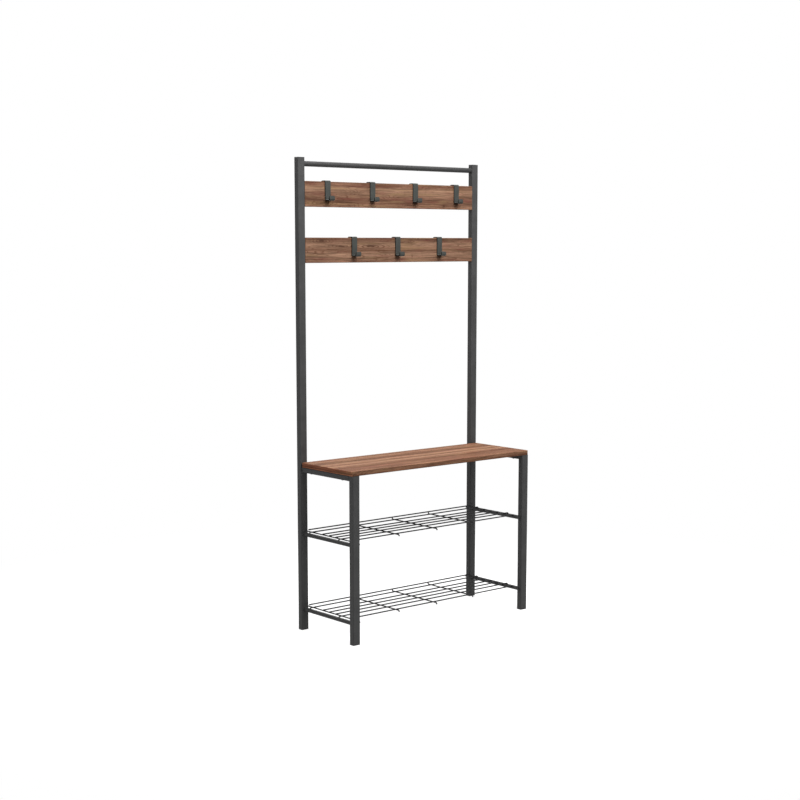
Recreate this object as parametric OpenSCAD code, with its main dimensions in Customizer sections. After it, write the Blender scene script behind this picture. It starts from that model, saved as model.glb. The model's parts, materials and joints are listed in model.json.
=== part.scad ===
// Hall tree: two tall back posts carry a round top bar and two boards with seven
// loose strap hooks; two short front legs and side rails carry a bench board and
// two welded wire shelves. Millimetres, +X right, +Y back, +Z up.
// Origin: on the floor, in the middle of the footprint.

/* [Overall] */
// Width over the outer faces of the back posts
tree_w = 915; // [760:1:1050]
// Depth from the front of the legs to the back of the posts
tree_d = 337; // [320:1:400]
// Height to the top of the post caps
tree_h = 1800; // [1770:1:1950]

/* [Posts and legs] */
// Width of the rectangular tube, along X
post_w = 32; // [28:0.5:40]
// Depth of the rectangular tube, along Y
post_d = 24; // [24:0.5:32]
// Wall of every steel tube
tube_wall = 1.2; // [0.8:0.1:1.6]
// Outer corner radius of the rectangular tubes
tube_corner = 3; // [2:0.5:5]
// How far each front leg stands in from the outer face of its post
leg_inset = 5; // [0:0.5:7]

/* [Plastic plugs] */
// Visible thickness of a foot under its tube
foot_h = 4; // [3:0.5:8]
// Visible thickness of a cap on top of its post
cap_h = 3; // [2:0.5:6]
// How far a plug reaches into its tube
plug_l = 16; // [8:1:22]
// Wall of the hollow part of a plug
plug_wall = 1.6; // [1:0.1:2.5]
// Chamfer round the outer edge of a plug
plug_chamfer = 1; // [0.4:0.1:1.5]

/* [Bench] */
// Height of the bench top above the floor
bench_h = 655; // [560:1:760]
// Thickness of the bench board
bench_t = 18; // [16:0.5:28]
// How far the bench board stands past the outer face of each front leg
bench_overhang = 2.5; // [0:0.5:5]
// Plan radius of the bench board's corners
bench_corner = 10; // [3:0.5:12]
// Height of the square rail under each end of the bench board
bench_rail_h = 20; // [16:0.5:30]
// Width of that rail
bench_rail_w = 20; // [16:0.5:26]
// Distance of each bench bolt from the nearer end of its rail
bench_bolt_inset = 49.5; // [30:0.5:100]

/* [Hook boards] */
// Height of each hook board
board_h = 95; // [90:1:105]
// Thickness of each hook board
board_t = 18; // [15:0.5:18.5]
// Round-over of the long edges of all boards
board_edge = 1.5; // [0.5:0.1:3]
// From the top of the caps down to the top edge of the upper board
upper_board_drop = 87; // [60:1:110]
// Gap between the two hook boards
board_gap = 114; // [90:1:250]

/* [Board brackets] */
// Reach of a bracket from its post, behind the board
bracket_w = 26; // [20:1:40]
// Height of a bracket
bracket_h = 40; // [34:1:42]
// Thickness of a bracket
bracket_t = 2; // [1.5:0.1:2.5]
// Radius of a bracket's two free corners
bracket_corner = 5; // [2:0.5:8]
// From a bracket's free end to the middle of its screw holes
bracket_end = 10; // [6:0.5:12]
// Distance between the two screws of a bracket
board_screw_gap = 22; // [16:1:24]

/* [Top bar] */
// Outer diameter of the top bar
top_bar_d = 20; // [18:0.5:22]
// Distance from the top of the caps down to the axis of the bar
top_bar_drop = 23.5; // [21:0.5:30]
// Length of the spigot that each post has inside the bar
spigot_l = 22; // [15:1:30]

/* [Wire shelves] */
// Outer diameter of the round side rails
shelf_rail_d = 16; // [14:0.5:18]
// Height of the upper shelf rails' axis
upper_rail_z = 376.5; // [330:0.5:460]
// Height of the lower shelf rails' axis
lower_rail_z = 81; // [60:0.5:150]
// Diameter of the shelf wires
wire_d = 5; // [4:0.1:6]
// From the posts' front face to the raised back wire
lip_setback = 2.5; // [0:0.5:8]
// Rise of the raised back wire above the level wires
lip_rise = 4.5; // [3.5:0.5:6]
// From the raised back wire to the rear support wire
lip_gap = 29; // [20:1:40]
// From the rear support wire to the next wire
back_wire_gap = 60; // [50:1:70]
// From the front support wire to the front wire
front_wire_gap = 50; // [40:1:60]
// From the back of the front legs to the front wire
front_setback = 27.5; // [22:0.5:35]
// From the front wire to the axis of the inner cross wires' turned-down tips
tip_reach = 7; // [7:0.5:20]
// How far the end cross wires run past the rails' ends, front and back
end_cross_over = 15.5; // [10:0.5:18]
// Gap between the front legs' inner faces and the end cross wires
end_cross_gap = 1.5; // [1:0.5:25]
// From the end cross wire to the first inner cross wire
end_bay = 223.5; // [150:0.5:240]
// Gap between the posts' inner faces and the ends of the other lengthwise wires
wire_end_gap = 1.5; // [1:0.5:4]
// Length of the turned-down tip at the front of each cross wire
tip_drop = 3.5; // [3.5:0.5:8]
// How far a support wire's end reaches below the top of its rail
pin_depth = 8; // [5:0.5:10]

/* [Hooks] */
// Width of the hook strap
strap_w = 25; // [18:0.5:30]
// Thickness of the hook strap
strap_t = 4; // [2.5:0.1:4.5]
// Overall height of a hook, top of the strap to the bottom of its J
hook_h = 76; // [60:1:95]
// Length of the strap that hangs down behind the board
hook_back = 24; // [15:1:24]
// Clear width of the J, from the strap to the tip
hook_throat = 22; // [16:0.5:30]
// Height of the upturned tip, from the bottom of the J
hook_tip = 18; // [16:0.5:26]
// Inside radius of the two bends of the J
hook_bend = 4; // [3:0.5:7]
// Inside radius of the two bends over the board
fold_bend = 1; // [0.5:0.1:2]
// Corner radius of the strap's two ends
strap_corner = 6; // [2:0.5:7]
// From the left post to the middle of the first upper hook
upper_left_margin = 105.5; // [60:0.5:120]
// From the last upper hook's middle to the right post
upper_right_margin = 90; // [60:0.5:120]
// From the left post to the middle of the first lower hook
lower_left_margin = 232.5; // [120:0.5:250]
// From the last lower hook's middle to the right post
lower_right_margin = 180.5; // [120:0.5:250]

/* [Fasteners] */
// Diameter of the bench bolts
bolt_d = 6; // [5:0.5:6.5]
// Diameter of a bench bolt's domed head
bolt_head_d = 12; // [11:0.5:13]
// Height of a bench bolt's domed head
bolt_head_h = 3.2; // [2.5:0.1:4]
// Width across the flats of the hexagon socket
socket_w = 4; // [3:0.5:5]
// Diameter of a threaded insert in the bench board
insert_d = 9; // [8:0.5:11]
// Length of a threaded insert
insert_l = 12; // [9:0.5:13]
// Diameter of the board screws
screw_d = 4; // [3:0.5:5]
// Length of a board screw under its head
screw_l = 15; // [10:1:16]
// Diameter of a board screw's domed head
screw_head_d = 8; // [7:0.5:9]
// Height of a board screw's domed head
screw_head_h = 2.2; // [1.8:0.1:2.6]
// Span of the cross recess in a board screw
recess_span = 4.4; // [3.5:0.1:5]
// Width of one slot of the cross recess
recess_w = 1; // [0.8:0.1:1.2]

/* [Fits] */
// Clearance each side of a bolt or screw in a drilled steel wall
bolt_play = 0.4; // [0.2:0.1:0.8]
// Clearance each side of a bolt or screw in its thread, and of an insert in its bore
thread_play = 0.06; // [0.03:0.01:0.1]
// Clearance each side of a plug in its tube
plug_play = 0.1; // [0.05:0.05:0.3]
// Clearance of a hook in front of and behind the board
hook_play = 0.3; // [0.2:0.1:0.8]
// Clearance of a hook over the board's top edge
hook_seat = 0.1; // [0.05:0.05:0.3]
// Gap between the support wires and the top of the round rails
wire_seat = 0.3; // [0.2:0.1:0.5]
// Clearance each side of a support wire's end in its hole
pin_play = 0.3; // [0.2:0.1:0.5]
// Depth to which crossing wires are melted together
weld_bite = 0.4; // [0.2:0.1:0.8]

/* [Hidden] */
$fn = 48;
STEEL = "#3c3d3f";
WIRE = "#35363a";
WOOD = "#8f6146";
PLASTIC = "#222224";
ZINC = "#8b8d90";
cut = 1;                                   // overshoot of a cutting solid

// Posts and legs
post_x = tree_w / 2 - post_w / 2;
post_y = tree_d / 2 - post_d / 2;
post_front = tree_d / 2 - post_d;
post_inner = tree_w / 2 - post_w;
post_top = tree_h - cap_h;
leg_x = post_x - leg_inset;
leg_y = -post_y;
leg_back = -post_front;
leg_outer = tree_w / 2 - leg_inset;
leg_inner = post_inner - leg_inset;
inner_corner = max(tube_corner - tube_wall, 0.3);

// Bench
bench_under = bench_h - bench_t;
bench_w = 2 * (leg_outer + bench_overhang);
bench_front = -tree_d / 2;
bench_d = post_front - bench_front;
bench_rail_x = leg_outer - bench_rail_w / 2;
rail_l = post_front - leg_back;

bench_bolt_y = rail_l / 2 - bench_bolt_inset;

// Hook boards and top bar
upper_board_z = tree_h - upper_board_drop - board_h;
lower_board_z = upper_board_z - board_gap - board_h;
board_l = 2 * post_inner;
board_back = post_front + board_t;
board_screw_x = post_inner - bracket_w + bracket_end;
screw_bite = screw_l - bracket_t;          // length of a board screw in the wood
top_bar_z = tree_h - top_bar_drop;

// Wire shelves: heights are taken from the axis of the side rails
wire_r = wire_d / 2;
turn_r = wire_d;                           // axis radius where a wire turns
long_z = shelf_rail_d / 2 + wire_seat + wire_r;
cross_z = long_z - wire_d + weld_bite;
lip_z = long_z + lip_rise;
pin_x = post_x;
end_cross_x = leg_inner - end_cross_gap - wire_r;
inner_cross_x = end_cross_x - end_bay;
plain_wire_end = post_inner - wire_end_gap;
lip_wire_y = post_front - lip_setback;
rear_support_y = lip_wire_y - lip_gap;
front_wire_y = leg_back + front_setback;
front_support_y = front_wire_y + front_wire_gap;
inner_wires = 3;                           // level wires between the support wires
wire_pitch = (rear_support_y - back_wire_gap - front_support_y) / inner_wires;
support_wire_y = [rear_support_y, front_support_y];
plain_wire_y = [for (i = [1:inner_wires]) front_support_y + i * wire_pitch];
tip_y = front_wire_y - tip_reach;
end_cross_y = post_front + end_cross_over;

// Hooks
upper_hooks = 4;
lower_hooks = 3;
upper_hook_pitch = (board_l - upper_left_margin - upper_right_margin) / (upper_hooks - 1);
lower_hook_pitch = (board_l - lower_left_margin - lower_right_margin) / (lower_hooks - 1);

// ---- Shared shapes ----

// Rectangle with round corners, centred
module rounded_rect(w, d, r) {
    square([w - 2 * r, d], center = true);
    square([w, d - 2 * r], center = true);
    for (x = [-1, 1], y = [-1, 1])
        translate([x * (w / 2 - r), y * (d / 2 - r)]) circle(r = r);
}

// Rectangle with its corners cut at 45 degrees, centred
module chamfered_rect(w, d, c) {
    polygon([[-w / 2 + c, -d / 2], [w / 2 - c, -d / 2], [w / 2, -d / 2 + c],
        [w / 2, d / 2 - c], [w / 2 - c, d / 2], [-w / 2 + c, d / 2],
        [-w / 2, d / 2 - c], [-w / 2, -d / 2 + c]]);
}

// Section of a rectangular tube, centred
module tube_section(w, d) {
    difference() {
        rounded_rect(w, d, tube_corner);
        rounded_rect(w - 2 * tube_wall, d - 2 * tube_wall, inner_corner);
    }
}

// Turns an outline drawn in Y and Z into a solid of length l along X, centred
module along_x(l) {
    rotate([90, 0, 90]) linear_extrude(l, center = true) children();
}

// Turns an outline drawn in X and Z into a solid of length l along Y, centred
module along_y(l) {
    rotate([90, 0, 0]) linear_extrude(l, center = true) children();
}

// Straight round bar of radius r along one axis, from its first end to its second
module bar_x(x0, x1, r) {
    translate([x0, 0, 0]) rotate([0, 90, 0]) cylinder(r = r, h = x1 - x0);
}

module bar_y(y0, y1, r) {
    translate([0, y0, 0]) rotate([-90, 0, 0]) cylinder(r = r, h = y1 - y0);
}

module bar_z(z0, z1, r) {
    translate([0, 0, z0]) cylinder(r = r, h = z1 - z0);
}

// Domed screw: the head's seat is at the origin, the shank runs up +Z.
// The child is the recess, cut into the head from below.
module dome_screw(d, l, head_d, head_h) {
    dome_r = (pow(head_d / 2, 2) + pow(head_h, 2)) / (2 * head_h);
    difference() {
        intersection() {
            translate([0, 0, dome_r - head_h]) sphere(r = dome_r);
            bar_z(-head_h, 0, head_d / 2);
        }
        translate([0, 0, -head_h - cut]) linear_extrude(cut + head_h * 0.6) children();
    }
    bar_z(0, l, d / 2);
}

// ---- Steel tubes ----

module post(side) {
    color(STEEL) translate([side * post_x, post_y, foot_h])
        linear_extrude(post_top - foot_h) tube_section(post_w, post_d);
}

module front_leg(side) {
    color(STEEL) translate([side * leg_x, leg_y, foot_h])
        linear_extrude(bench_under - foot_h) tube_section(post_w, post_d);
}

// Square rail from the post to the front leg, drilled for the bench bolts
module bench_rail(side) {
    color(STEEL) difference() {
        translate([side * bench_rail_x, 0, bench_under - bench_rail_h / 2])
            along_y(rail_l) tube_section(bench_rail_w, bench_rail_h);
        for (y = [-bench_bolt_y, bench_bolt_y])
            translate([side * bench_rail_x, y, 0])
                bar_z(bench_under - bench_rail_h - cut, bench_under + cut,
                    bolt_d / 2 + bolt_play);
    }
}

// Round rail from the post to the front leg, drilled on top for the shelf's ends
module shelf_rail(side, z) {
    color(STEEL) translate([side * pin_x, 0, z]) difference() {
        bar_y(leg_back, post_front, shelf_rail_d / 2);
        bar_y(leg_back - cut, post_front + cut, shelf_rail_d / 2 - tube_wall);
        for (y = support_wire_y)
            translate([0, y, 0]) bar_z(0, shelf_rail_d / 2 + cut, wire_r + pin_play);
    }
}

module top_bar() {
    color(STEEL) translate([0, post_y, top_bar_z]) difference() {
        bar_x(-post_inner, post_inner, top_bar_d / 2);
        bar_x(-post_inner - cut, post_inner + cut, top_bar_d / 2 - tube_wall);
    }
}

// Short round stubs on the posts' inner faces, which the bar's ends slip over
module top_bar_spigots() {
    color(STEEL) translate([0, post_y, top_bar_z]) for (s = [0, 1])
        mirror([s, 0, 0]) bar_x(post_inner - spigot_l, post_inner,
            top_bar_d / 2 - tube_wall - plug_play);
}

// Flat tab on a post's inner face, behind the board, drilled for two screws
module bracket(side, board_z) {
    r = bracket_corner;
    color(STEEL) translate([0, board_back + bracket_t / 2, board_z + board_h / 2])
        mirror([side > 0 ? 1 : 0, 0, 0]) along_y(bracket_t) difference() {
            translate([-post_inner, 0]) {
                translate([0, -bracket_h / 2]) square([bracket_w - r, bracket_h]);
                translate([0, r - bracket_h / 2]) square([bracket_w, bracket_h - 2 * r]);
                for (s = [-1, 1])
                    translate([bracket_w - r, s * (bracket_h / 2 - r)]) circle(r = r);
            }
            for (s = [-1, 1])
                translate([-board_screw_x, s * board_screw_gap / 2])
                    circle(r = screw_d / 2 + bolt_play);
        }
}

// ---- Plastic plugs ----

// Plug whose flange lies below z = 0 and whose hollow shank reaches up the tube
module tube_plug(flange_h) {
    shank_w = post_w - 2 * tube_wall - 2 * plug_play;
    shank_d = post_d - 2 * tube_wall - 2 * plug_play;
    difference() {
        union() {
            intersection() {
                translate([0, 0, -flange_h])
                    linear_extrude(flange_h) rounded_rect(post_w, post_d, tube_corner);
                along_x(post_w + cut) chamfered_rect(post_d, 2 * flange_h, plug_chamfer);
                along_y(post_d + cut) chamfered_rect(post_w, 2 * flange_h, plug_chamfer);
            }
            linear_extrude(plug_l) rounded_rect(shank_w, shank_d, inner_corner);
        }
        linear_extrude(plug_l + cut) square([shank_w - 2 * plug_wall,
            shank_d - 2 * plug_wall], center = true);
    }
}

module post_cap(side) {
    color(PLASTIC) translate([side * post_x, post_y, post_top])
        mirror([0, 0, 1]) tube_plug(cap_h);
}

module foot(x, y) {
    color(PLASTIC) translate([x, y, foot_h]) tube_plug(foot_h);
}

// ---- Boards ----

// Places children at the four screws of a board, at the face of its back
module at_board_screws(z) {
    for (sx = [-1, 1], sz = [-1, 1])
        translate([sx * board_screw_x, board_back,
            z + board_h / 2 + sz * board_screw_gap / 2]) children();
}

// Board between the posts, bored from behind for its screws
module hook_board(z) {
    color(WOOD) difference() {
        translate([0, post_front + board_t / 2, z + board_h / 2])
            along_x(board_l) rounded_rect(board_t, board_h, board_edge);
        at_board_screws(z) bar_y(-screw_bite, cut, screw_d / 2 + thread_play);
    }
}

// Bench board with round corners in plan, bored underneath for its inserts
module bench_board() {
    color(WOOD) translate([0, bench_front + bench_d / 2, bench_under])
    difference() {
        intersection() {
            translate([0, 0, bench_t / 2]) along_x(bench_w + cut)
                rounded_rect(bench_d, bench_t, board_edge);
            linear_extrude(bench_t) rounded_rect(bench_w, bench_d, bench_corner);
        }
        for (s = [-1, 1], y = [-bench_bolt_y, bench_bolt_y])
            translate([s * bench_rail_x, y - bench_front - bench_d / 2, 0])
                bar_z(-cut, insert_l, insert_d / 2 + thread_play);
    }
}

// ---- Fasteners ----

module hook_board_screws() {
    color(STEEL) for (z = [upper_board_z, lower_board_z]) at_board_screws(z)
        translate([0, bracket_t, 0]) rotate([90, 0, 0])
            dome_screw(screw_d, screw_l, screw_head_d, screw_head_h) {
                square([recess_span, recess_w], center = true);
                square([recess_w, recess_span], center = true);
            }
}

// Places children at the four bench bolts, under the rails
module at_bench_bolts(z) {
    for (s = [-1, 1], y = [-bench_bolt_y, bench_bolt_y])
        translate([s * bench_rail_x, y, z]) children();
}

module bench_bolts() {
    color(STEEL) at_bench_bolts(bench_under - bench_rail_h)
        dome_screw(bolt_d, bench_rail_h + insert_l, bolt_head_d, bolt_head_h)
            circle(r = socket_w / sqrt(3), $fn = 6);
}

module bench_inserts() {
    color(ZINC) at_bench_bolts(bench_under) difference() {
        bar_z(0, insert_l, insert_d / 2);
        bar_z(-cut, insert_l + cut, bolt_d / 2 + thread_play);
    }
}

// ---- Wire shelves ----

// Quarter turn of wire: from the origin heading +Y, it ends heading up
module wire_turn() {
    translate([0, 0, turn_r]) rotate([0, 90, 0])
        rotate_extrude(angle = 90) translate([turn_r, 0]) circle(r = wire_r);
}

// Support wire: along X over both rails, each end turned down into its hole
module support_wire() {
    straight = pin_x - turn_r;
    bar_x(-straight, straight, wire_r);
    for (s = [0, 1]) mirror([s, 0, 0]) translate([straight, 0, 0]) {
        rotate([0, 0, -90]) mirror([0, 0, 1]) wire_turn();
        translate([turn_r, 0, 0])
            bar_z(shelf_rail_d / 2 - long_z - pin_depth, -turn_r, wire_r);
    }
}

// Lengthwise wires: two carry the shelf on the rails, the others end at the
// end cross wires, and the rearmost is raised
module long_wires() {
    for (y = support_wire_y) translate([0, y, long_z]) support_wire();
    for (y = concat(plain_wire_y, front_wire_y)) translate([0, y, long_z])
        bar_x(-plain_wire_end, plain_wire_end, wire_r);
    translate([0, lip_wire_y, lip_z])
        bar_x(-plain_wire_end, plain_wire_end, wire_r);
}

// Cross wire with its front tip turned down. Its straight part has the given
// length, and the child, if any, carries on from that part's back end.
module cross_wire(front, length) {
    translate([0, front + turn_r, 0]) {
        bar_y(0, length, wire_r);
        rotate([0, 0, 180]) mirror([0, 0, 1]) {
            wire_turn();
            translate([0, turn_r, 0]) bar_z(turn_r, tip_drop + wire_r, wire_r);
        }
        translate([0, length, 0]) children();
    }
}

// Back end of an inner cross wire, turned up behind the raised wire
module upturned_end() {
    wire_turn();
    translate([0, turn_r, 0]) bar_z(turn_r, lip_z - cross_z, wire_r);
}

// Cross wires run under the lengthwise ones, melted a little into them
module cross_wires() {
    upturn_y = lip_wire_y + wire_d - weld_bite;
    translate([0, 0, cross_z]) {
        for (x = [-inner_cross_x, 0, inner_cross_x]) translate([x, 0, 0])
            cross_wire(tip_y, upturn_y - tip_y - 2 * turn_r) upturned_end();
        for (x = [-end_cross_x, end_cross_x]) translate([x, 0, 0])
            cross_wire(-end_cross_y, 2 * end_cross_y - turn_r);
    }
}

module wire_shelf(rail_z) {
    color(WIRE) translate([0, 0, rail_z]) union() {
        long_wires();
        cross_wires();
    }
}

// ---- Hooks ----

// Quarter ring of strap about its bend axis, from the angle start
module strap_bend(r, start) {
    intersection() {
        difference() {
            circle(r = r + strap_t);
            circle(r = r);
        }
        rotate(start) square(r + strap_t + cut);
    }
}

// Side view of a hook. The board's front face is at 0 and its top edge at 0.
module hook_outline() {
    front = -hook_play;
    back = board_t + hook_play;
    mouth = front - strap_t;
    tip = mouth - hook_throat;
    floor_z = hook_seat + strap_t - hook_h;
    bend_z = floor_z + strap_t + hook_bend;
    fold_z = hook_seat - fold_bend;
    translate([back, -hook_back]) square([strap_t, hook_back + fold_z]);
    translate([back - fold_bend, fold_z]) strap_bend(fold_bend, 0);
    translate([front + fold_bend, hook_seat])
        square([back - front - 2 * fold_bend, strap_t]);
    translate([front + fold_bend, fold_z]) strap_bend(fold_bend, 90);
    translate([mouth, bend_z]) square([strap_t, fold_z - bend_z]);
    translate([mouth - hook_bend, bend_z]) strap_bend(hook_bend, 270);
    translate([tip + hook_bend, floor_z])
        square([hook_throat - 2 * hook_bend, strap_t]);
    translate([tip + hook_bend, bend_z]) strap_bend(hook_bend, 180);
    translate([tip - strap_t, bend_z]) square([strap_t, floor_z + hook_tip - bend_z]);
}

// Removes the two corners of a strap end at height z; up is 1 or -1
module end_corners(y, z, up) {
    for (s = [-1, 1])
        translate([s * (strap_w / 2 - strap_corner), y, z - up * strap_corner])
            scale([s, 1, up]) along_y(2 * strap_t) difference() {
                square(strap_corner + cut);
                circle(r = strap_corner);
            }
}

module hook(x, board_z) {
    end_y = -hook_play - strap_t - hook_throat - strap_t / 2;
    end_z = hook_seat + strap_t - hook_h + hook_tip;
    color(STEEL) translate([x, post_front, board_z + board_h]) difference() {
        along_x(strap_w) hook_outline();
        end_corners(end_y, end_z, 1);
        end_corners(board_t + hook_play + strap_t / 2, -hook_back, -1);
    }
}

module upper_hook(i) {
    hook(-post_inner + upper_left_margin + i * upper_hook_pitch, upper_board_z);
}

module lower_hook(i) {
    hook(-post_inner + lower_left_margin + i * lower_hook_pitch, lower_board_z);
}

// ---- The nodes ----

post(-1);  // left_post
post(1);  // right_post
front_leg(-1);  // left_front_leg
front_leg(1);  // right_front_leg
post_cap(-1);  // left_post_cap
post_cap(1);  // right_post_cap
foot(-post_x, post_y);  // left_post_foot
foot(post_x, post_y);  // right_post_foot
foot(-leg_x, leg_y);  // left_leg_foot
foot(leg_x, leg_y);  // right_leg_foot
bench_rail(-1);  // left_bench_rail
bench_rail(1);  // right_bench_rail
shelf_rail(-1, upper_rail_z);  // left_upper_shelf_rail
shelf_rail(1, upper_rail_z);  // right_upper_shelf_rail
shelf_rail(-1, lower_rail_z);  // left_lower_shelf_rail
shelf_rail(1, lower_rail_z);  // right_lower_shelf_rail
top_bar();
top_bar_spigots();
hook_board(upper_board_z);  // upper_hook_board
hook_board(lower_board_z);  // lower_hook_board
bracket(-1, upper_board_z);  // upper_left_bracket
bracket(1, upper_board_z);  // upper_right_bracket
bracket(-1, lower_board_z);  // lower_left_bracket
bracket(1, lower_board_z);  // lower_right_bracket
hook_board_screws();
bench_board();
bench_bolts();
bench_inserts();
wire_shelf(upper_rail_z);  // upper_wire_shelf
wire_shelf(lower_rail_z);  // lower_wire_shelf
upper_hook(0);  // upper_hook_1
upper_hook(1);  // upper_hook_2
upper_hook(2);  // upper_hook_3
upper_hook(3);  // upper_hook_4
lower_hook(0);  // lower_hook_1
lower_hook(1);  // lower_hook_2
lower_hook(2);  // lower_hook_3
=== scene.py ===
"""Hall tree: charcoal powder-coated steel, wood-grain laminate boards, bent strap hooks."""
import json
import math

import bmesh
import bpy
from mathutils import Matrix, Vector


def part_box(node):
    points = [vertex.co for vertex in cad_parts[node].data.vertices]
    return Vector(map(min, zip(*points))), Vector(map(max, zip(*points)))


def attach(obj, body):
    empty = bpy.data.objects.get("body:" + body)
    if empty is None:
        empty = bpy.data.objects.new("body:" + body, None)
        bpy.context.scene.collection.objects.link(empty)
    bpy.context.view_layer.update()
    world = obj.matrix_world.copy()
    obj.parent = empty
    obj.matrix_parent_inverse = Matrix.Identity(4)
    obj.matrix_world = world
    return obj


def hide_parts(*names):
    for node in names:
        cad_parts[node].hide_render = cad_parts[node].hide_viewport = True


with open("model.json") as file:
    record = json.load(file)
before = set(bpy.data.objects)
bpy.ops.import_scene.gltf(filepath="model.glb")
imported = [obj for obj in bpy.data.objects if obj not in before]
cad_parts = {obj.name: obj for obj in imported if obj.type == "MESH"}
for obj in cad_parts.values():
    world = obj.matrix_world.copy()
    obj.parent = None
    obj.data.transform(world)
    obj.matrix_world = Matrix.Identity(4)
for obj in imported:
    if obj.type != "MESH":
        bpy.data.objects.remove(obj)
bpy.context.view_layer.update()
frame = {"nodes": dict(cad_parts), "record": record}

MM = 0.001

# Real sizes that the CAD boxes don't give, in millimetres
STRAP_T = 4.0            # thickness of the hook strap
STRAP_BACK = 24.0        # strap that hangs behind the board, below its top edge
STRAP_TIP = 18.0         # height of the hook's upturned tip
STRAP_CORNER = 6.0       # corner radius of the strap's two ends
FOLD_R = 3.0             # axis radius of the two folds over the board
HOOK_R = 6.0             # axis radius of the two bends of the hook
STRAP_EDGE = 0.5         # tumbled edge of the strap
BENCH_CORNER = 10.0      # plan radius of the bench board's corners
BENCH_EDGE = 1.5         # eased edge of the bench board
INSERT_R = 4.5           # radius of the inserts under the bench board
WELD_R = 1.2             # radius of the weld beads at the ends of the round tubes
WELD_OUT = 0.2           # how far a bead's centre line stands outside its tube
WELD_RIPPLE = 0.25       # height of the ripples on a bead
WELD_STEPS = 96          # steps round a bead, with a ripple at every third one
ROUND_TUBES = ("left_upper_shelf_rail", "left_lower_shelf_rail",
               "right_upper_shelf_rail", "right_lower_shelf_rail", "top_bar")

HOOKS = [n for n in sorted(frame["nodes"]) if "_hook_" in n and "board" not in n]


# ---- Material tools ----

def linear(hex_colour):
    """sRGB hex to the linear RGBA that Blender's sockets take."""
    out = []
    for i in (1, 3, 5):
        c = int(hex_colour[i:i + 2], 16) / 255
        out.append(c / 12.92 if c <= 0.04045 else ((c + 0.055) / 1.055) ** 2.4)
    return (*out, 1.0)


def add(tree, kind, settings=None, links=None):
    """Adds a shader node. Settings are its own properties or its sockets' values, and
    links join other nodes' outputs to its sockets."""
    node = tree.nodes.new("ShaderNode" + kind)
    for name, value in (settings or {}).items():
        if isinstance(name, str) and hasattr(node, name):
            setattr(node, name, value)
        else:
            node.inputs[name].default_value = value
    for name, socket in (links or {}).items():
        tree.links.new(socket, node.inputs[name])
    return node


class Shading:
    """A material's node tree with short ways to join its nodes."""

    def __init__(self, name):
        self.material = bpy.data.materials.new(name)
        self.material.use_nodes = True
        self.tree = self.material.node_tree
        self.tree.nodes.clear()
        self.shader = add(self.tree, "BsdfPrincipled")
        add(self.tree, "OutputMaterial", {}, {"Surface": self.shader.outputs[0]})
        self.place = add(self.tree, "TexCoord").outputs["Object"]

    def maths(self, operation, *values):
        """A Math node on numbers or outputs."""
        settings, links = {"operation": operation}, {}
        for i, value in enumerate(values):
            (settings if isinstance(value, (int, float)) else links)[i] = value
        return add(self.tree, "Math", settings, links).outputs[0]

    def vector(self, *values):
        """Three numbers or outputs as one vector."""
        settings, links = {}, {}
        for i, value in enumerate(values):
            (settings if isinstance(value, (int, float)) else links)[i] = value
        return add(self.tree, "CombineXYZ", settings, links).outputs[0]

    def noise(self, vector, scale=1.0, detail=2.0, rough=0.5):
        """Noise from about 0.2 to 0.8, centred on 0.5."""
        return add(self.tree, "TexNoise",
                   {"Scale": scale, "Detail": detail, "Roughness": rough},
                   {"Vector": vector}).outputs["Fac"]

    def ramp(self, factor, *stops):
        """Colours along a factor, from (position, hex string or grey) stops."""
        node = add(self.tree, "ValToRGB", {}, {"Fac": factor})
        band = node.color_ramp
        while len(band.elements) < len(stops):
            band.elements.new(0.5)
        for element, (position, colour) in zip(band.elements, stops):
            element.position = position
            element.color = linear(colour) if isinstance(colour, str) else (*[colour] * 3, 1)
        return node.outputs["Color"]

    def fade(self, value, start, end, high=1.0, low=0.0):
        """From low to high as the value goes from start to end, with soft ends."""
        return add(self.tree, "MapRange",
                   {"interpolation_type": "SMOOTHSTEP", "From Min": start,
                    "From Max": end, "To Min": low, "To Max": high},
                   {"Value": value}).outputs[0]

    def mix(self, base, factor, other):
        """The base colour with the other one, a hex string or output, mixed in."""
        settings, links = {"data_type": "RGBA"}, {6: base}
        (settings if isinstance(factor, (int, float)) else links)[0] = factor
        if isinstance(other, str):
            settings[7] = linear(other)
        else:
            links[7] = other
        return add(self.tree, "Mix", settings, links).outputs[2]

    def relief(self, height, depth_mm, strength):
        """Bumps the surface by a height field."""
        bump = add(self.tree, "Bump", {"Strength": strength, "Distance": depth_mm * MM},
                   {"Height": height})
        self.feed("Normal", bump.outputs[0])

    def feed(self, socket, output):
        """Joins an output to a socket of the shader."""
        self.tree.links.new(output, self.shader.inputs[socket])

    def fix(self, **values):
        """Sets sockets of the shader, with spaces for underscores in their names."""
        for name, value in values.items():
            self.shader.inputs[name.replace("_", " ")].default_value = value


# ---- Materials ----

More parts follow.
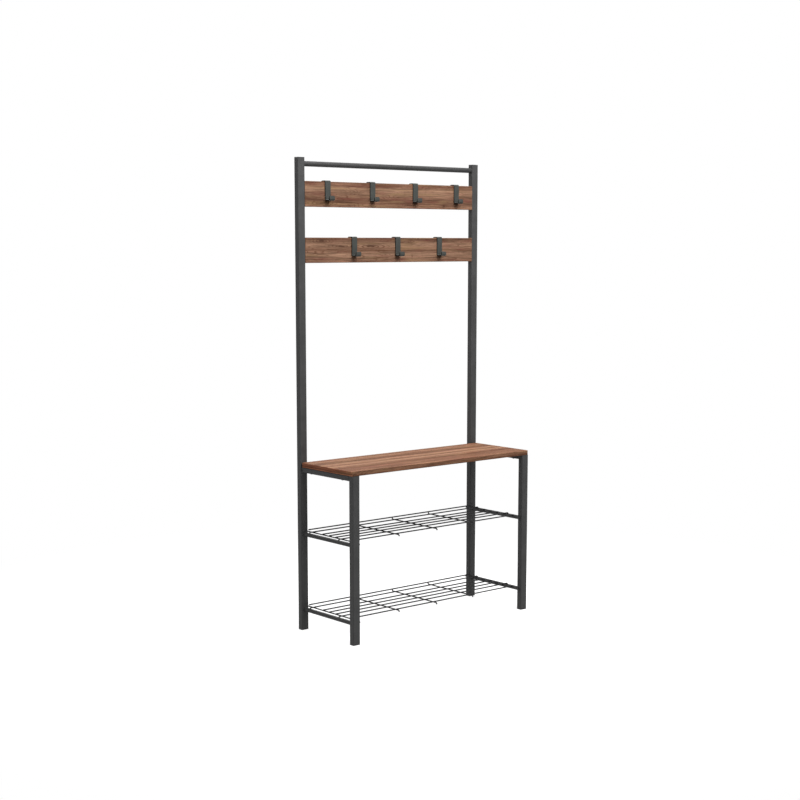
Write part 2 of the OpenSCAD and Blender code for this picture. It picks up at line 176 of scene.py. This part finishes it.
def powder_coat(name, dark, light, peel_mm, strength, side_shade_colour=None):
    """Polyester powder coat baked on steel: an even satin charcoal. Its fine orange
    peel breaks up each highlight, and a faint mottle shows where the coat is thicker.
    On the strap, the narrow sides that face along X are painted darker: painted shade."""
    coat = Shading(name)
    mottle = coat.noise(coat.place, 24.0, 3.0)
    peel = coat.noise(coat.place, 1 / (peel_mm * MM), 2.0)
    shade = coat.maths("MULTIPLY_ADD", peel, 0.4, coat.maths("MULTIPLY", mottle, 0.6))
    colour = coat.ramp(shade, (0.38, dark), (0.62, light))
    # Faces that point along X turn darker: painted shade
    if side_shade_colour:
        facing = add(coat.tree, "SeparateXYZ", {},
                     {"Vector": add(coat.tree, "TexCoord").outputs["Normal"]})
        sideways = coat.maths("ABSOLUTE", facing.outputs["X"])
        colour = coat.mix(colour, coat.fade(sideways, 0.6, 0.9), side_shade_colour)
    coat.feed("Base Color", colour)
    coat.feed("Roughness", coat.ramp(mottle, (0.3, 0.44), (0.7, 0.54)))
    coat.relief(peel, 0.06, strength)
    coat.fix(IOR=1.5, Specular_IOR_Level=0.18)
    return coat.material


def wood_laminate(name, node, tones, joints, marks, seed):
    """Laminate printed as aged oak staves and pressed with a matt grain. Across the board
    the staves go through warm brown tones with dark and cream joint lines, and along X
    run streaks, growth lines and pores that part round knots and reddish stains.
    Tones are (mm, colour), joints (mm, width, colour, share) and marks (x, mm, half
    length, half width, colour, share); mm is from the board's front or bottom edge."""
    wood = Shading(name)
    maths, noise, vector = wood.maths, wood.noise, wood.vector
    low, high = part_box(node)
    flat = high.y - low.y > high.z - low.z
    axes = add(wood.tree, "SeparateXYZ", {}, {"Vector": wood.place})
    facing = add(wood.tree, "SeparateXYZ", {},
                 {"Vector": add(wood.tree, "TexCoord").outputs["Normal"]})
    end_face = maths("GREATER_THAN", maths("ABSOLUTE", facing.outputs["X"]), 0.7)
    face = maths("SUBTRACT", 1.0, end_face)
    # On the end faces the edge band is redder, and its grain runs along Y instead
    along = maths("ADD", maths("MULTIPLY", axes.outputs["X"], face),
                  maths("MULTIPLY", axes.outputs["Y"], end_face))
    across = maths("SUBTRACT", maths("MULTIPLY_ADD", axes.outputs["Y"], face,
                                     axes.outputs["Z"]),
                   low.y + (high.z if flat else low.z))

    # Grain runs along X, wanders slowly, wavers finely, and parts round each mark
    wander = noise(vector(maths("MULTIPLY", along, 2.4), maths("MULTIPLY", across, 11.0),
                          seed), 1.0, 2.0)
    waver = noise(vector(maths("MULTIPLY", along, 17.0), maths("MULTIPLY", across, 60.0),
                         seed), 1.0, 2.0)
    flow = maths("MULTIPLY_ADD", waver, 0.0045, maths("MULTIPLY_ADD", wander, 0.016, across))
    spots, eyes = [], []
    for x, mm, half_long, half_wide, colour, share in marks:
        ragged = maths("MULTIPLY_ADD", waver, 0.5, maths("MULTIPLY", wander, 0.7))
        lengthwise = maths("DIVIDE", maths("SUBTRACT", along, x * MM), half_long * MM)
        sideways = maths("DIVIDE", maths("SUBTRACT", across, mm * MM), half_wide * MM)
        away = maths("SQRT", maths("ADD", maths("POWER", maths("ABSOLUTE", lengthwise), 2.0),
                                   maths("POWER", maths("ABSOLUTE", sideways), 2.0)))
        distance = maths("ADD", away, ragged)
        near_by = wood.fade(distance, 1.75, 0.6)
        spots.append((near_by, colour, share))
        if colour == KNOT:
            ring = wood.fade(maths("PINGPONG", maths("MULTIPLY", distance, 1.7), 0.5), 0.22, 0.5)
            eyes.append(maths("MULTIPLY", ring, wood.fade(distance, 3.6, 1.4, 0.75)))
        flow = maths("MULTIPLY_ADD", near_by, 0.3 * half_wide * MM, flow)

    # Brightness: bands about 21 mm wide, streaks of 4 mm and fibres of 1.4 mm. Real
    # fibres are under 0.5 mm and are drawn as coarse as they need to show.
    bands = noise(vector(maths("MULTIPLY", along, 2.6), maths("MULTIPLY", flow, 48.0),
                         seed + 5.0), 1.0, 3.0, 0.6)
    streaks = noise(vector(maths("MULTIPLY", along, 6.0), maths("MULTIPLY", flow, 240.0),
                           seed + 9.0), 1.0, 4.0, 0.65)
    fibres = noise(vector(maths("MULTIPLY", along, 18.0), maths("MULTIPLY", flow, 700.0),
                          seed + 2.0), 1.0, 2.0, 0.6)
    grain = maths("MULTIPLY_ADD", bands, 0.22,
                  maths("MULTIPLY_ADD", streaks, 0.5, maths("MULTIPLY", fibres, 0.28)))
    gain = maths("MULTIPLY_ADD", grain, 5.4, -1.74)
    gain = maths("MINIMUM", maths("MAXIMUM", gain, 0.5), 1.6)
    start, end = tones[0][0], tones[-1][0]
    place = maths("DIVIDE", maths("SUBTRACT", maths("MULTIPLY_ADD", waver, 0.008, across),
                                  (start + 4) * MM), (end - start) * MM)
    colour = wood.ramp(place, *(((mm - start) / (end - start), tone) for mm, tone in tones))
    colour = wood.mix(colour, maths("MULTIPLY", end_face, 0.8), "#ac6e54")
    colour = add(wood.tree, "VectorMath", {"operation": "SCALE"},
                 {0: colour, "Scale": gain}).outputs[0]

    # Hue: reddish heartwood streaks, and a yellower cast where the print is pale
    red = noise(vector(maths("MULTIPLY", along, 4.5), maths("MULTIPLY", flow, 70.0),
                       seed + 11.0), 1.0, 3.0, 0.6)
    colour = wood.mix(colour, wood.fade(red, 0.54, 0.68, 0.38), "#714039")
    colour = wood.mix(colour, wood.fade(red, 0.47, 0.36, 0.45), "#957857")

    # Growth lines: contours of a slow height field, in arches and eyes
    rings = noise(vector(maths("MULTIPLY", along, 5.0), maths("MULTIPLY", flow, 30.0),
                         seed + 15.0), 1.0, 1.0)
    ring_line = wood.fade(maths("PINGPONG", maths("MULTIPLY", rings, 16.0), 0.5), 0.3, 0.5)
    ring_area = wood.fade(noise(vector(maths("MULTIPLY", along, 3.0),
                                       maths("MULTIPLY", across, 20.0), seed + 21.0)),
                          0.42, 0.58, 0.65)
    colour = wood.mix(colour, maths("MULTIPLY", ring_line, ring_area), "#573a2b")

    # Growth rings run round the knots
    for eye in eyes:
        colour = wood.mix(colour, eye, "#4f3427")
    for near_by, mark_colour, share in spots:
        dabs = maths("MULTIPLY", near_by, wood.fade(streaks, 0.66, 0.40, share, share * 0.3))
        colour = wood.mix(colour, dabs, mark_colour)
    # Pores about 1.1 mm wide. Real ones are 0.2 mm, too fine to show.
    pores = noise(vector(maths("MULTIPLY", along, 55.0), maths("MULTIPLY", flow, 900.0),
                         seed))
    pore_share = wood.fade(pores, 0.59, 0.71, 0.55)
    colour = wood.mix(colour, pore_share, "#452d22")
    groove = 0.0
    for mm, width, joint_colour, share in joints:
        off_line = maths("ABSOLUTE", maths("SUBTRACT", across, mm * MM))
        line = wood.fade(off_line, width * MM, 0.2 * width * MM)
        line = maths("MULTIPLY", line, wood.fade(bands, 0.62, 0.42, share, share * 0.45))
        colour = wood.mix(colour, line, joint_colour)
        groove = maths("MAXIMUM", groove, line)
    wood.feed("Base Color", colour)
    wood.feed("Roughness", wood.ramp(pores, (0.4, 0.55), (0.75, 0.7)))
    wood.relief(maths("SUBTRACT", maths("MULTIPLY", streaks, 0.6),
                      maths("MAXIMUM", pore_share, groove)), 0.15, 0.35)
    wood.fix(IOR=1.4, Specular_IOR_Level=0.02)
    return wood.material


def moulded_plastic():
    """Injection-moulded polyethylene: near black, with the spark-eroded matt of the
    mould, so the plugs look duller than the coat of the tubes that they close. The
    real grit is about 0.1 mm and is drawn at 0.6 mm so that it shows."""
    plug = Shading("moulded_polyethylene")
    grit = plug.noise(plug.place, 1 / (0.6 * MM), 1.0)
    plug.feed("Base Color", plug.ramp(grit, (0.35, "#1c1c1d"), (0.7, "#2a2a2b")))
    plug.feed("Roughness", plug.ramp(grit, (0.3, 0.58), (0.7, 0.68)))
    plug.relief(grit, 0.05, 0.4)
    plug.fix(IOR=1.5, Specular_IOR_Level=0.35)
    return plug.material


def black_oxide():
    """Black oxide on machine screws: a thin dark skin on the metal, slightly brown, and
    scuffed lighter by the tumbling of the parts. Its 0.1 mm scuffs are drawn at 0.7 mm
    so that they show."""
    skin = Shading("black_oxide_steel")
    rub = skin.noise(skin.place, 1 / (0.7 * MM), 3.0)
    skin.feed("Base Color", skin.ramp(rub, (0.35, "#232221"), (0.7, "#3c3b3a")))
    skin.feed("Roughness", skin.ramp(rub, (0.3, 0.36), (0.7, 0.5)))
    skin.relief(rub, 0.03, 0.25)
    skin.fix(Metallic=0.6)
    return skin.material


def zinc_plate():
    """Bright zinc plate on turned steel: pale bluish metal with barrel scratches, about
    0.1 mm wide and drawn at 0.7 mm so that they show."""
    plate = Shading("bright_zinc_plate")
    rub = plate.noise(plate.place, 1 / (0.7 * MM), 3.0)
    plate.feed("Base Color", plate.ramp(rub, (0.3, "#a9acae"), (0.7, "#cbcdcd")))
    plate.feed("Roughness", plate.ramp(rub, (0.3, 0.25), (0.7, 0.42)))
    plate.relief(rub, 0.03, 0.2)
    plate.fix(Metallic=1.0)
    return plate.material


def one_material(piece, material):
    """Gives the whole piece one material."""
    piece.data.materials.clear()
    piece.data.materials.append(material)


# ---- Modelling tools ----

def nothing_selected():
    """Leaves edit mode and deselects every object."""
    if bpy.context.object and bpy.context.object.mode != "OBJECT":
        bpy.ops.object.mode_set(mode="OBJECT")
    bpy.ops.object.select_all(action="DESELECT")


def work_on(piece):
    """Makes the piece the only selected and the active object."""
    nothing_selected()
    piece.select_set(True)
    bpy.context.view_layer.objects.active = piece


def started(name):
    """Names the primitive just added, puts its place into its mesh, and returns it."""
    piece = bpy.context.object
    piece.name = piece.data.name = name
    bpy.ops.object.transform_apply(location=True, rotation=True, scale=True)
    return piece


def edit(piece, kind, chosen):
    """Enters edit mode with just the vertices, edges or faces that pass chosen()."""
    work_on(piece)
    bpy.ops.object.mode_set(mode="EDIT")
    bpy.ops.mesh.select_mode(type=kind)
    bpy.ops.mesh.select_all(action="DESELECT")
    mesh = bmesh.from_edit_mesh(piece.data)
    items = {"VERT": mesh.verts, "EDGE": mesh.edges, "FACE": mesh.faces}[kind]
    for item in items:
        if chosen(item):
            item.select_set(True)
    mesh.select_flush_mode()
    bmesh.update_edit_mesh(piece.data)


def middle(item):
    """Centre of an edge or face."""
    return sum((v.co for v in item.verts), Vector()) / len(item.verts)


def near(a, b):
    """Whether two places on an axis, in metres, are the same but for rounding."""
    return abs(a - b) < 1e-5


def apply_modifier(piece, kind, **settings):
    """Adds a modifier with its settings and applies it."""
    work_on(piece)
    modifier = piece.modifiers.new(kind.title(), kind)
    for name, value in settings.items():
        setattr(modifier, name, value)
    bpy.ops.object.modifier_apply(modifier=modifier.name)


def even_shading(piece):
    """Smooth rounds and edges, with the flat faces kept flat."""
    work_on(piece)
    bpy.ops.object.shade_smooth_by_angle(angle=math.radians(40))
    apply_modifier(piece, "WEIGHTED_NORMAL", mode="FACE_AREA", keep_sharp=True)


def copied(piece, name, offset):
    """A copy with its own mesh, moved in the mesh."""
    twin = piece.copy()
    twin.data = piece.data.copy()
    twin.name = twin.data.name = name
    bpy.context.scene.collection.objects.link(twin)
    work_on(twin)
    twin.location = offset
    bpy.ops.object.transform_apply(location=True)
    return twin


# ---- Pieces ----

def bent_hook(node):
    """One hook as its maker bends it: a flat strip drawn out along its centre line,
    folds and bends rounded, end corners rounded, then thickened and tumbled."""
    low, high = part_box(node)
    board_low, board_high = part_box(node.split("_")[0] + "_hook_board")
    half = STRAP_T / 2 * MM
    width = high.x - low.x
    centre = (low.x + high.x) / 2
    play = high.y - STRAP_T * MM - board_high.y
    back, front, tip = high.y - half, board_low.y - play - half, low.y + half
    top, floor = high.z - half, low.z + half
    back_end, tip_end = board_high.z - STRAP_BACK * MM, low.z + STRAP_TIP * MM

    nothing_selected()
    bpy.ops.mesh.primitive_plane_add(size=width, rotation=(math.radians(90), 0, 0),
                                     location=(centre, back, back_end + width / 2))
    piece = started(node + ".strap")
    edit(piece, "VERT", lambda v: v.co.z > back_end + width / 2)
    bpy.ops.transform.translate(value=(0, 0, top - back_end - width))
    bpy.ops.mesh.select_mode(type="EDGE")
    for move in ((front - back, 0), (0, floor - top), (tip - front, 0),
                 (0, tip_end - floor)):
        bpy.ops.mesh.extrude_region_move(TRANSFORM_OT_translate={"value": (0, *move)})

    def across_at(edge, spots):
        mid = middle(edge)
        return near(mid.x, centre) and any(near(mid.y, y) and near(mid.z, z)
                                           for y, z in spots)

    for radius, spots in ((FOLD_R, ((back, top), (front, top))),
                          (HOOK_R, ((front, floor), (tip, floor)))):
        edit(piece, "EDGE", lambda edge: across_at(edge, spots))
        bpy.ops.mesh.bevel(offset=radius * MM, segments=8, affect="EDGES")
    edit(piece, "VERT", lambda v: near(v.co.z, back_end) and near(v.co.y, back)
         or near(v.co.z, tip_end) and near(v.co.y, tip))
    bpy.ops.mesh.bevel(offset=STRAP_CORNER * MM, segments=8, affect="VERTICES")
    bpy.ops.mesh.select_all(action="SELECT")
    bpy.ops.mesh.normals_make_consistent(inside=False)
    apply_modifier(piece, "SOLIDIFY", thickness=STRAP_T * MM, offset=0,
                   use_even_offset=True)
    apply_modifier(piece, "BEVEL", width=STRAP_EDGE * MM, segments=2,
                   limit_method="ANGLE", angle_limit=math.radians(50))
    even_shading(piece)
    return piece


def bench_top():
    """The bench board with its routed corners, eased edges and insert holes."""
    low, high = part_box("bench_board")
    nothing_selected()
    bpy.ops.mesh.primitive_cube_add(size=1, location=(low + high) / 2)
    bpy.context.object.scale = high - low
    piece = started("bench_board.top")
    edit(piece, "EDGE", lambda e: near(e.verts[0].co.x, e.verts[1].co.x)
         and near(e.verts[0].co.y, e.verts[1].co.y))
    bpy.ops.mesh.bevel(offset=BENCH_CORNER * MM, segments=10, affect="EDGES")
    edit(piece, "EDGE", lambda e: near(e.verts[0].co.z, e.verts[1].co.z))
    bpy.ops.mesh.bevel(offset=BENCH_EDGE * MM, segments=3, affect="EDGES")
    insert_low, insert_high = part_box("bench_inserts")
    radius = INSERT_R * MM
    for x in (insert_low.x + radius, insert_high.x - radius):
        for y in (insert_low.y + radius, insert_high.y - radius):
            nothing_selected()
            bpy.ops.mesh.primitive_cylinder_add(
                vertices=48, radius=radius, depth=2 * (insert_high.z - low.z),
                location=(x, y, low.z))
            drill = started("drill")
            apply_modifier(piece, "BOOLEAN", object=drill, operation="DIFFERENCE",
                           solver="EXACT")
            bpy.data.objects.remove(drill)
    even_shading(piece)
    return piece


def weld_places():
    """Where round tubes end on a post or leg: name of the bead, middle of the joint,
    radius of the tube, and whether the tube runs along X."""
    places = []
    for node in ROUND_TUBES:
        low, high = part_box(node)
        mid = (low + high) / 2
        along_x = high.x - low.x > high.y - low.y
        if along_x:
            ends = [Vector((x, mid.y, mid.z)) for x in (low.x, high.x)]
        else:
            ends = [Vector((mid.x, y, mid.z)) for y in (low.y, high.y)]
        places += [(f"{node}.weld_{i}", end, mid.z - low.z, along_x)
                   for i, end in enumerate(ends, 1)]
    return places


def weld_bead(name, place, radius, along_x):
    """Bead that runs round a tube's end, with the ripples that the torch leaves."""
    turn = (0, math.pi / 2, 0) if along_x else (math.pi / 2, 0, 0)
    nothing_selected()
    bpy.ops.mesh.primitive_torus_add(location=place, rotation=turn,
                                     major_segments=WELD_STEPS, minor_segments=10,
                                     major_radius=radius + WELD_OUT * MM,
                                     minor_radius=WELD_R * MM)
    bead = started(name)

    def on_ripple(vertex):
        out = vertex.co - place
        angle = math.atan2(out.z, out.y if along_x else out.x)
        return round(angle / math.tau * WELD_STEPS) % 3 == 0

    edit(bead, "VERT", on_ripple)
    bpy.ops.transform.shrink_fatten(value=WELD_RIPPLE * MM)
    even_shading(bead)
    return bead


# ---- The object ----

# Browns of the print, from its deepest staves to its palest; the bench's are redder
BENCH_DEEP, BENCH_BROWN, BENCH_WARM, BENCH_PALE = "#6a4634", "#7b5643", "#86624d", "#96705a"
BOARD_DEEP, BOARD_BROWN, BOARD_WARM, BOARD_PALE = "#6e5040", "#7a5a48", "#84634f", "#90705b"
KNOT, STAIN, SHADE = "#3a261d", "#6a3a34", "#5a3c2c"
DARK_JOINT, CREAM_JOINT = "#47301f", "#b8936f"

# The round tubes and the thin wire get darker copies of the same coat, the wire the darkest:
# painted shade
coat = powder_coat("polyester_powder_coat", "#3e3e3e", "#474747", 1.1, 0.5)
shaded_tube_coat = powder_coat("powder_coat_painted_shade_round_tube", "#333333", "#3b3b3b", 1.1, 0.5)
shaded_wire_coat = powder_coat("powder_coat_painted_shade_wire", "#1e1e1f", "#252526", 0.9, 0.4)
# The near black is painted shade on the strap's narrow sides along X
hook_coat = powder_coat("powder_coat_on_strap_with_painted_side_shade", "#3a3c39", "#424441", 1.0, 0.5, "#171816")
bench_wood = wood_laminate(
    "wood_laminate_bench", "bench_board",
    # Below 0 mm is the front edge, deep at -18 mm and warm at -8 mm: painted shade, darker
    # towards its bottom
    ((-18, BENCH_DEEP), (-8, BENCH_WARM), (15, BENCH_BROWN), (60, BENCH_BROWN),
     (90, BENCH_DEEP), (140, BENCH_PALE), (165, BENCH_BROWN), (190, BENCH_PALE),
     (220, BENCH_DEEP), (265, BENCH_WARM), (313, BENCH_BROWN)),
    ((32, 4, DARK_JOINT, 0.5), (92, 5, DARK_JOINT, 0.7), (138, 5, CREAM_JOINT, 0.7),
     (157, 4, DARK_JOINT, 0.5), (184, 5, CREAM_JOINT, 0.5), (220, 5, DARK_JOINT, 0.75),
     (268, 4, CREAM_JOINT, 0.4), (292, 4, DARK_JOINT, 0.4)),
    ((62, 248, 80, 12, SHADE, 0.6), (296, 223, 90, 10, SHADE, 0.7),
     (222, 114, 70, 8, STAIN, 0.45), (-400, 98, 60, 10, STAIN, 0.6),
     (-180, 60, 90, 9, STAIN, 0.4), (180, 40, 70, 8, SHADE, 0.5),
     (-60, 84, 60, 7, SHADE, 0.5), (-330, 20, 40, 6, SHADE, 0.5)), 3.0)
upper_wood = wood_laminate(
    "wood_laminate_upper_board", "upper_hook_board",
    ((0, BOARD_WARM), (30, BOARD_DEEP), (68, BOARD_PALE), (85, BOARD_BROWN),
     (113, BOARD_DEEP)),
    ((18, 1.6, DARK_JOINT, 0.5), (71, 2.4, CREAM_JOINT, 0.3), (80, 1.6, DARK_JOINT, 0.35)),
    ((-344, 14, 34, 5, KNOT, 0.75), (270, 13, 9, 7, KNOT, 0.85), (85, 14, 22, 4, KNOT, 0.7),
     (-215, 32, 90, 6, STAIN, 0.75), (95, 27, 40, 7, STAIN, 0.7), (20, 33, 70, 4, STAIN, 0.6),
     (-50, 57, 34, 9, STAIN, 0.6), (395, 32, 40, 8, STAIN, 0.6), (-390, 86, 40, 8, STAIN, 0.7),
     (215, 26, 50, 5, STAIN, 0.6), (-30, 86, 90, 7, SHADE, 0.6), (220, 90, 70, 5, SHADE, 0.6),
     (-330, 50, 70, 9, STAIN, 0.35), (330, 88, 60, 6, SHADE, 0.5)), 8.0)
lower_wood = wood_laminate(
    "wood_laminate_lower_board", "lower_hook_board",
    ((0, BOARD_BROWN), (30, BOARD_PALE), (48, BOARD_BROWN), (68, BOARD_PALE),
     (90, BOARD_DEEP), (113, BOARD_DEEP)),
    ((45, 1.8, DARK_JOINT, 0.6), (88, 1.6, DARK_JOINT, 0.3)),
    ((-350, 82, 26, 7, KNOT, 0.95), (-253, 63, 32, 5, KNOT, 0.85), (-110, 61, 46, 7, KNOT, 0.9),
     (93, 82, 11, 6, KNOT, 0.7), (45, 11, 40, 6, STAIN, 0.8), (370, 49, 52, 6, STAIN, 0.65),
     (142, 49, 30, 5, STAIN, 0.6), (-60, 46, 70, 5, SHADE, 0.7), (-345, 14, 40, 6, STAIN, 0.5),
     (180, 84, 60, 8, STAIN, 0.5), (270, 78, 40, 6, STAIN, 0.5), (-30, 86, 60, 7, STAIN, 0.5),
     (-170, 12, 50, 4, SHADE, 0.5), (240, 10, 60, 5, SHADE, 0.5),
     (102, 25, 4, 15, SHADE, 1.0), (102, 88, 4, 7, SHADE, 1.0)), 14.0)
plastic = moulded_plastic()
fastener = black_oxide()
zinc = zinc_plate()

# The shelf wire takes the darkest copy of the coat, painted shade
FINISHES = {"frame_steel": coat, "shelf_wire": shaded_wire_coat, "hook_steel": hook_coat,
            "wood_board": bench_wood, "plug_plastic": plastic,
            "black_fastener": fastener, "zinc_insert": zinc}
for part in frame["record"]["subparts"]:
    one_material(frame["nodes"][part["node"]], FINISHES[part["material_slot"]])
# The round tubes take the darker copy of the coat, painted shade
for tube in ROUND_TUBES:
    one_material(frame["nodes"][tube], shaded_tube_coat)
one_material(frame["nodes"]["upper_hook_board"], upper_wood)
one_material(frame["nodes"]["lower_hook_board"], lower_wood)

# The weld beads take that darker copy of the coat too, painted shade
for name, place, radius, along_x in weld_places():
    bead = weld_bead(name, place, radius, along_x)
    one_material(bead, shaded_tube_coat)
    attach(bead, "frame")

first = bent_hook(HOOKS[0])
one_material(first, hook_coat)
for node in HOOKS:
    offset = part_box(node)[0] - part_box(HOOKS[0])[0]
    hook = first if node == HOOKS[0] else copied(first, node + ".strap", offset)
    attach(hook, node)
    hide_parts(node)

bench = bench_top()
one_material(bench, bench_wood)
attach(bench, "frame")
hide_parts("bench_board")


# ---- Floor, light and camera ----

def seen_directly(tree):
    """1 for what the camera sees, directly or in gloss or glass, and 0 for bounced light."""
    path = add(tree, "LightPath")
    either = add(tree, "Math", {"operation": "MAXIMUM"},
                 {0: path.outputs["Is Camera Ray"], 1: path.outputs["Is Glossy Ray"]})
    return add(tree, "Math", {"operation": "MAXIMUM"},
               {0: either.outputs[0], 1: path.outputs["Is Transmission Ray"]}).outputs[0]


def studio_floor():
    """Pale floor that fades to white away from the object and keeps its soft shadow."""
    nothing_selected()
    bpy.ops.mesh.primitive_circle_add(vertices=96, radius=40, fill_type="NGON")
    floor = started("studio_floor")
    paint = bpy.data.materials.new("matt_white_floor")
    paint.use_nodes = True
    tree = paint.node_tree
    tree.nodes.clear()
    place = add(tree, "TexCoord").outputs["Object"]
    # The floor turns white between these distances from its middle, in metres
    fade_from, fade_to = 0.7, 2.2
    far = add(tree, "MapRange", {"interpolation_type": "SMOOTHSTEP", "From Min": fade_from,
                                 "From Max": fade_to},
              {"Value": add(tree, "VectorMath", {"operation": "LENGTH"},
                            {0: place}).outputs["Value"]}).outputs[0]
    matt = add(tree, "BsdfDiffuse", {"Color": (0.25, 0.25, 0.25, 1)})
    shadow = add(tree, "BsdfDiffuse", {"Color": (0.5, 0.5, 0.5, 1)})
    glow = add(tree, "Emission", {"Strength": 0.72})
    kept = add(tree, "AddShader", {}, {0: shadow.outputs[0], 1: glow.outputs[0]})
    white = add(tree, "Emission", {"Strength": 1.0})
    pale = add(tree, "MixShader", {}, {0: far, 1: kept.outputs[0], 2: white.outputs[0]})
    shown = add(tree, "MixShader", {}, {0: seen_directly(tree), 1: matt.outputs[0],
                                        2: pale.outputs[0]})
    add(tree, "OutputMaterial", {}, {"Surface": shown.outputs[0]})
    one_material(floor, paint)


def studio_light():
    """White surroundings, dim as light, with soft lamps in front, above and at the left."""
    world = bpy.data.worlds.new("studio")
    bpy.context.scene.world = world
    world.use_nodes = True
    tree = world.node_tree
    tree.nodes.clear()
    strength = add(tree, "MapRange", {"To Min": 0.30, "To Max": 1.0},
                   {"Value": seen_directly(tree)})
    sky = add(tree, "Background", {"Color": (1, 1, 1, 1)},
              {"Strength": strength.outputs[0]})
    add(tree, "OutputWorld", {}, {"Surface": sky.outputs[0]})
    # Places, targets and sizes are in metres, and powers in watts
    for name, place, target, size, power in (
            ("front_lamp", (0.2, -1.7, 3.0), (0, 0, 1.2), 2.2, 67.0),
            ("side_lamp", (-2.0, -0.6, 1.9), (-0.4, 0, 1.3), 1.0, 6.0),
            ("back_lamp", (0.6, 2.4, 2.2), (0, 0, 0.9), 1.6, 26.0),
            ("top_lamp", (0.0, -0.6, 5.0), (0, 0, 0.5), 3.5, 160.0)):
        lamp = bpy.data.lights.new(name, "AREA")
        lamp.shape, lamp.size, lamp.energy = "SQUARE", size, power
        stand = bpy.data.objects.new(name, lamp)
        bpy.context.scene.collection.objects.link(stand)
        stand.location = place
        aim = Vector(target) - Vector(place)
        stand.rotation_euler = aim.to_track_quat("-Z", "Y").to_euler()


def view_camera():
    """Camera about 1.5 m high in front of the left corner: its place in metres, its turns
    in degrees and its focal length in millimetres."""
    lens = bpy.data.cameras.new("camera")
    lens.lens, lens.sensor_width = 68.418, 36.0
    lens.shift_y = 0.07425
    camera = bpy.data.objects.new("camera", lens)
    bpy.context.scene.collection.objects.link(camera)
    camera.location = (-3.8766, -4.4722, 1.4820)
    camera.rotation_euler = (math.radians(81.916), 0, math.radians(-40.302))
    bpy.context.scene.camera = camera


nothing_selected()
studio_floor()
studio_light()
view_camera()
bpy.context.scene.view_settings.view_transform = "Standard"
